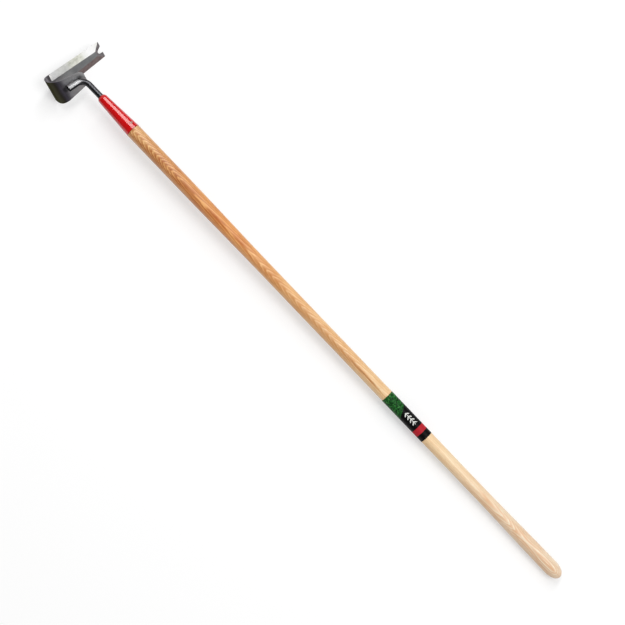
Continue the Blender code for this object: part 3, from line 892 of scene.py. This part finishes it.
# The handle: ash, turned on a copying lathe and varnished once. Its growth rings lie nearly
# along the handle, so they come out on the round face as nested points, and it pales from
# brown heartwood at the socket to sapwood at the butt.

handle = {
    "gripDiameter": 36 * mm,
    "middleDiameter": 32.3 * mm,
    "swellDiameter": 36.9 * mm,
    "visible": 1467 * mm,
    "frontGrip": 176 * mm,
    "frontTaper": 285 * mm,
    "swellLength": 250 * mm,
    "buttDome": 31 * mm,
    "tenonLength": 60 * mm,
    "tenonTaper": 4 * mm,
    "tenonPlay": 0.4 * mm,
    "steps": 24,
    "sides": 160,
}

ash = {
    "ringWidth": 2.6 * mm,
    "pithDistance": 60 * mm,
    "pithTurn": -10,
    # rings that come to the surface between the mouth and the butt: their number and where
    "rings": 30,
    "ringRun": [
        (0.0, 0.0), (0.057, 0.173), (0.115, 0.35), (0.168, 0.385), (0.254, 0.45), (0.288, 0.485),
        (0.336, 0.583), (0.396, 0.7), (0.448, 0.81), (0.495, 0.9), (0.559, 0.963), (0.7, 0.977),
        (0.808, 0.965), (0.861, 0.925), (0.905, 0.825), (0.92, 0.813), (0.935, 0.819), (0.958, 0.832),
        (0.985, 0.818), (1.0, 0.8),
    ],
    # a year: pale wood, slowly browner, then a thin pale line
    "year": [
        (0.0, 0.9), (0.1, 1.0), (0.26, 0.5), (0.4, 0.16), (0.5, 0.42), (0.6, 0.12), (0.86, 0.0), (1.0, 0.85),
    ],
    # along the handle: how strong the rings are, the two colours between which they play, and
    # how strong the streak of heartwood is
    "contrast": [(0.0, 0.72), (0.12, 0.78), (0.5, 0.9), (0.62, 0.5), (0.78, 0.35), (0.86, 0.8), (1.0, 0.7)],
    "pale": [
        (0.0, "#f8cc8e"), (0.05, "#f7c47e"), (0.1, "#f9bc73"), (0.22, "#fcb86b"), (0.36, "#ffd196"),
        (0.51, "#ffdaa8"), (0.62, "#ffe2b2"), (0.74, "#ffe9c4"), (0.84, "#fff0d4"), (1.0, "#fff0d6"),
    ],
    "brown": [
        (0.0, "#b96a1c"), (0.1, "#ae560a"), (0.22, "#c4650e"), (0.36, "#da9248"), (0.51, "#e3a664"),
        (0.62, "#eabb80"), (0.74, "#f2c690"), (0.84, "#eab888"), (1.0, "#e4b080"),
    ],
    "streak": [(0.3, 0.0), (0.4, 0.32), (0.49, 0.42), (0.53, 0.85), (0.56, 1.0), (0.585, 0.0)],
    # noises that are long along the grain: width, its share of the length, detail and roughness.
    # Real pores are about 0.2 mm wide, and are drawn wider so that they show.
    "noises": {
        "waves": (15 * mm, 0.14, 3.5, 0.55),
        "patches": (9 * mm, 0.14, 2.0, 0.5),
        "feathers": (2.2 * mm, 0.07, 2.0, 0.6),
        "fibres": (0.5 * mm, 0.02, 3.0, 0.6),
        "pores": (0.7 * mm, 0.07, 1.0, 0.5),
    },
    "waveDepth": 2.4 * mm,
    "featherDepth": 1.8 * mm,
    "patchDepth": 0.22,
    "ridge": 0.15,
    "edgeReach": 13 * mm,
    "streakOffset": 6 * mm,
    "streakFeather": 5 * mm,
    "streakWidth": 7 * mm,
    "coreWidth": 26 * mm,
}


def varnishedAsh(look):
    material, add, coords = newMaterial("varnishedAsh", handlePlace)
    turn = add("VectorRotate", coords, rotation_type="Z_AXIS", Angle=radians(look["pithTurn"]))
    split = add("SeparateXYZ", turn)
    x, y, z = (split.outputs[axis] for axis in "XYZ")
    share = add("MapRange", z, socket["length"], socket["length"] + handle["visible"])
    noises = {}
    for name, (width, squash, detail, rough) in look["noises"].items():
        stretch = add("Mapping", coords, Scale=(1.0, 1.0, squash))
        noises[name] = add("TexNoise", stretch, Scale=1 / width, Detail=detail, Roughness=rough)
    waves, patches, feathers, fibres, pores = noises.values()
    ramps = [add("ValToRGB", share, stops=look[k]) for k in ("contrast", "pale", "brown", "streak")]
    contrast, pale, brown, streakTaper = ramps
    # the rings lean in to a ridge along the top, so they come out in points
    ringRun = add("FloatCurve", Value=share, points=look["ringRun"])
    pith = add("Math:MULTIPLY_ADD", ringRun, look["rings"] * look["ringWidth"], look["pithDistance"])
    offRidge = add("Math:ABSOLUTE", y)
    ridge = add("Math:MULTIPLY_ADD", offRidge, -look["ridge"], x)
    depth = add("Math:ADD", ridge, pith)
    fromPith = add("CombineXYZ", depth, y)
    distance = add("VectorMath:LENGTH", fromPith)
    wavy = add("Math:MULTIPLY_ADD", waves, look["waveDepth"], distance)
    # the lathe cuts across the fibres, which feather each ring's edge
    feathered = add("Math:MULTIPLY_ADD", feathers, look["featherDepth"], wavy)
    rings = add("Math:DIVIDE", feathered, look["ringWidth"])
    ringShare = add("Math:FRACT", rings)
    ringTone = add("ValToRGB", ringShare, stops=look["year"])
    openPores = add("MapRange", pores, 0.62, 0.7)
    earlyWood = add("Math:MULTIPLY", openPores, ringTone)
    middle = add("Math:MULTIPLY_ADD", fibres, 0.22, 0.42)
    tone = add("Mix:FLOAT", contrast, middle, ringTone)
    # painted light: the handle is paler on its lit side and browner on its shaded side; heartwood and
    # sapwood lie in long patches
    sideways = add("MapRange", y, -look["edgeReach"], look["edgeReach"], 0.06, -0.07)
    patchTone = add("MapRange", patches, 0.3, 0.7, -look["patchDepth"], look["patchDepth"])
    patchy = add("Math:ADD", sideways, patchTone)
    leaning = add("Math:ADD", tone, patchy, use_clamp=True)
    wood = add("Mix:RGBA", leaning, brown, pale)
    # a brown core of heartwood, which runs out in a dark point towards the label
    offStreak = add("Math:SUBTRACT", y, look["streakOffset"])
    streakEdge = add("Math:MULTIPLY_ADD", feathers, look["streakFeather"], offStreak)
    fromStreak = add("Math:ABSOLUTE", streakEdge)
    streakReach = add("MapRange", share, 0.44, 0.54, look["coreWidth"] / 2, look["streakWidth"] / 2)
    offCore = add("Math:DIVIDE", fromStreak, streakReach)
    inStreak = add("MapRange:SMOOTHSTEP", offCore, 1.0, 0.0)
    streakDepth = add("Math:MULTIPLY", inStreak, streakTaper)
    wood = add("Mix:RGBA", streakDepth, wood, linear("#c07a3a"))
    streaks = add("MapRange", fibres, 0.3, 0.7, 0.9, 1.06)
    streaked = add("VectorMath:SCALE", wood, streaks)
    poreShade = add("Math:MULTIPLY", earlyWood, 0.35)
    colour = add("Mix:RGBA", poreShade, streaked, linear("#9a6a3e"))
    relief = add("Bump", invert=True, Height=earlyWood, Strength=0.25, Distance=0.08 * mm)
    add("OutputMaterial", add("BsdfPrincipled", **{
        "Base Color": colour, "Roughness": 0.48, "IOR": 1.5, "Coat Weight": 0.7, "Coat Roughness": 0.42,
        "Normal": relief,
    }))
    return material


def ease(share):
    return share * share * (3 - 2 * share)


def handleProfile():
    mouth = socket["length"] + 0.3 * mm
    grip, middle, swell = (handle[k] / 2 for k in ("gripDiameter", "middleDiameter", "swellDiameter"))
    tenon = socketRadius(mouth) - socket["wall"] - handle["tenonPlay"]
    profile = [(tenon - handle["tenonTaper"], mouth - handle["tenonLength"]), (tenon, mouth - 0.2 * mm)]
    # the shoulder over the tenon is eased
    profile += [(grip - 0.5 * mm, mouth), (grip - 0.12 * mm, mouth + 0.15 * mm), (grip, mouth + 0.6 * mm)]
    taperStart = socket["length"] + handle["frontGrip"]
    domeStart = socket["length"] + handle["visible"] - handle["buttDome"]
    swellStart = domeStart - handle["swellLength"]
    for start, length, first, last in (
        (taperStart, handle["frontTaper"], grip, middle),
        (swellStart, handle["swellLength"], middle, swell),
    ):
        for i in range(handle["steps"] + 1):
            share = i / handle["steps"]
            profile.append((first + (last - first) * ease(share), start + length * share))
    for back, out in quarter(handle["steps"])[1:]:
        profile.append((max(axisGap, swell * back), domeStart + handle["buttDome"] * out))
    return profile


def makeHandle(material):
    piece = makeObject("ashHandle", turned(handleProfile(), handle["sides"]), handlePlace)
    dress(piece, "handle", "ash_wood", material)


makeHandle(varnishedAsh(ash))
print("handle made")


# The label: a printed film wrapped once round the handle, with a generic design: grass at the
# head's end behind a slanted border, then black with a pale sprig along the top and a red ring

label = {
    "fromMouth": 872.5 * mm,
    "length": 135.5 * mm,
    "inner": 16.2 * mm,
    "outer": 16.5 * mm,
    "grassLength": 50 * mm,
    "grassPitch": 4 * mm,
    "greens": [(0.38, "#041c08"), (0.5, "#124a1b"), (0.6, "#2c7a31"), (0.72, "#6aa65c")],
    "borderSlant": 0.5,
    "sprig": (58 * mm, 94 * mm),
    "stemWidth": 1.4 * mm,
    "leafPitch": 9 * mm,
    "leafLength": 4.6 * mm,
    "leafWidth": 1.3 * mm,
    "leafOut": 3.7 * mm,
    "leafTurn": 48,
    "ring": (103 * mm, 119 * mm),
    "lap": 2 * mm,
    "edge": 0.08 * mm,
    "steps": 12,
    "sides": 160,
}


def printedFilm(look):
    # digital print on a polyester film: flat inks under a satin face, with a lapped seam behind
    material, add, coords = newMaterial("printedLabelFilm", handlePlace)
    split = add("SeparateXYZ", coords)
    # places on the film: round it from its top, and along it
    angle = add("Math:ARCTAN2", split.outputs["Y"], split.outputs["X"])
    across = add("Math:MULTIPLY", angle, look["outer"])
    fromTop = add("Math:ABSOLUTE", across)
    start = socket["length"] + look["fromMouth"]
    along = add("Math:SUBTRACT", split.outputs["Z"], start)
    # the ground: blades of grass in four greens, then black beyond the slanted border
    blades = add("TexNoise", coords, Scale=1 / look["grassPitch"], Detail=5.0, Roughness=0.7)
    grass = add("ValToRGB", blades, stops=look["greens"])
    border = add("Math:MULTIPLY_ADD", across, -look["borderSlant"], along)
    pastGrass = add("Math:GREATER_THAN", border, look["grassLength"])
    ground = add("Mix:RGBA", pastGrass, grass, linear("#030304"))
    bands = []
    for bandStart, bandEnd in (look["sprig"], look["ring"]):
        middle, half = (bandStart + bandEnd) / 2, (bandEnd - bandStart) / 2
        bands.append(add("Math:COMPARE", along, middle, half))
    # the sprig: leaves in pairs beside a stem, each a turned ellipse in its own stretch
    fromStart = add("Math:SUBTRACT", along, look["sprig"][0])
    step = add("Math:MODULO", fromStart, look["leafPitch"])
    beside = add("CombineXYZ", fromTop, step)
    leafSpace = add(
        "Mapping", beside, vector_type="TEXTURE", Rotation=(0, 0, -radians(look["leafTurn"])),
        Location=(look["leafOut"], look["leafPitch"] / 2, 0),
        Scale=(look["leafWidth"], look["leafLength"], 1),
    )
    fromLeaf = add("VectorMath:LENGTH", leafSpace)
    leaf = add("Math:LESS_THAN", fromLeaf, 1.0)
    stem = add("Math:LESS_THAN", fromTop, look["stemWidth"] / 2)
    sprig = add("Math:MAXIMUM", leaf, stem)
    sprigMask = add("Math:MULTIPLY", sprig, bands[0])
    withSprig = add("Mix:RGBA", sprigMask, ground, linear("#e9ebe6"))
    withRing = add("Mix:RGBA", bands[1], withSprig, linear("#b8222f"))
    seam = add("Math:GREATER_THAN", fromTop, pi * look["outer"] - look["lap"])
    relief = add("Bump", Height=seam, Strength=0.6, Distance=0.1 * mm)
    add("OutputMaterial", add("BsdfPrincipled", **{
        "Base Color": withRing, "Roughness": 0.48, "IOR": 1.5, "Specular IOR Level": 0.15, "Normal": relief,
    }))
    return material


def makeLabel(material):
    start = socket["length"] + label["fromMouth"]
    length, inner, outer, edge, steps = (label[k] for k in ("length", "inner", "outer", "edge", "steps"))
    end = start + length
    profile = [(inner, start), (outer - edge, start), (outer, start + edge)]
    profile += [(outer, start + length * i / steps) for i in range(1, steps)]
    profile += [(outer, end - edge), (outer - edge, end), (inner, end)]
    piece = makeObject("labelFilm", turned(profile, label["sides"], False), handlePlace)
    dress(piece, "label_sleeve", "label_film", material)


makeLabel(printedFilm(label))
print("label made")


# Floor, light and camera

studio = {
    "floorSize": 60.0,
    "floorColour": "#c9c9c9",
    "floorLift": 0.44,
    "stipples": 60.0,  # in a metre
    "fill": 0.41,  # what lights matt surfaces, on average; it is stronger from the -y side
    "sides": 0.06,  # what gloss sees of the dark cards beside and above the tool
    "softboxes": {
        # size, place and watts
        "headSoftbox": ((1.1, 4.8), (-2.12, 2.35, 4.35), 136),
        "buttSoftbox": ((2.6, 2.2), (1.5, 1.0, 4.5), 76),
    },
}


def whiteFloor():
    # a painted floor: matt, pale, with a faint roller texture. Rays from the camera, from gloss
    # and through glass see a little light of its own, so that it is white under the shadow
    material, add, coords = newMaterial("whitePaintedFloor", Matrix())
    stipple = add("TexNoise", coords, Scale=studio["stipples"], Detail=2.0)
    relief = add("Bump", Height=stipple, Strength=0.05, Distance=0.2 * mm)
    path = add("LightPath")
    glance = path.outputs["Is Camera Ray"]
    for kind in ("Is Glossy Ray", "Is Transmission Ray"):
        glance = add("Math:MAXIMUM", glance, path.outputs[kind])
    lift = add("Math:MULTIPLY", glance, studio["floorLift"])
    add("OutputMaterial", add("BsdfPrincipled", **{
        "Base Color": linear(studio["floorColour"]), "Roughness": 0.9, "Specular IOR Level": 0.0,
        "Normal": relief, "Emission Color": (1, 1, 1, 1), "Emission Strength": lift,
    }))
    return material


def makeFloor():
    half = studio["floorSize"] / 2
    mesh = bpy.data.meshes.new("floor")
    corners = [(-half, -half, 0), (half, -half, 0), (half, half, 0), (-half, half, 0)]
    mesh.from_pydata(corners, [], [(0, 1, 2, 3)])
    mesh.materials.append(whiteFloor())
    addObject("floor", mesh)


def makeWorld():
    # a pale room: white to the camera and, in gloss, white past both ends of the tool
    world = bpy.data.worlds.new("paleStudio")
    bpy.context.scene.world = world
    world.use_nodes = True
    world.node_tree.nodes.clear()
    add = partial(addNode, world.node_tree)
    path = add("LightPath")
    split = add("SeparateXYZ", add("TexCoord").outputs["Generated"])
    endwise = add("Math:ABSOLUTE", split.outputs["X"])
    inGloss = add("MapRange:SMOOTHSTEP", endwise, 0.4, 0.8, studio["sides"])
    fill = add("MapRange", split.outputs["Y"], -1.0, 1.0, 1.3 * studio["fill"], 0.7 * studio["fill"])
    toGloss = add("Mix:FLOAT", path.outputs["Is Glossy Ray"], fill, inGloss)
    seen = add("Math:MAXIMUM", path.outputs["Is Camera Ray"], path.outputs["Is Transmission Ray"])
    strength = add("Mix:FLOAT", seen, toGloss, 1.0)
    light = add("Background", Color=(1, 1, 1, 1), Strength=strength)
    add("OutputWorld", light)


def makeSoftboxes():
    for name, (size, place, watts) in studio["softboxes"].items():
        box = bpy.data.lights.new(name, "AREA")
        box.shape = "RECTANGLE"
        box.size, box.size_y = size
        box.energy = watts
        lamp = addObject(name, box)
        zAxis = Vector(place).normalized()
        xAxis = (Vector((1, 0, 0)) - zAxis * zAxis.x).normalized()
        lamp.matrix_world = placeFrom(xAxis, zAxis.cross(xAxis), zAxis, Vector(place))


shot = {
    "place": (0.0855, -0.6219, 3.2283),
    "right": (0.6944, 0.70978, 0.11838),
    "up": (-0.71902, 0.67784, 0.15346),
    "lens": 78.76,
    "sensor": 36,
}


def makeCamera():
    data = bpy.data.cameras.new("shotCamera")
    data.lens = shot["lens"]
    data.sensor_width = shot["sensor"]
    camera = addObject("shotCamera", data)
    right, up = Vector(shot["right"]), Vector(shot["up"])
    camera.matrix_world = placeFrom(right, up, right.cross(up), Vector(shot["place"]))
    bpy.context.scene.camera = camera


makeFloor()
makeWorld()
makeSoftboxes()
makeCamera()
bpy.context.scene.view_settings.view_transform = "Standard"
print("studio made")
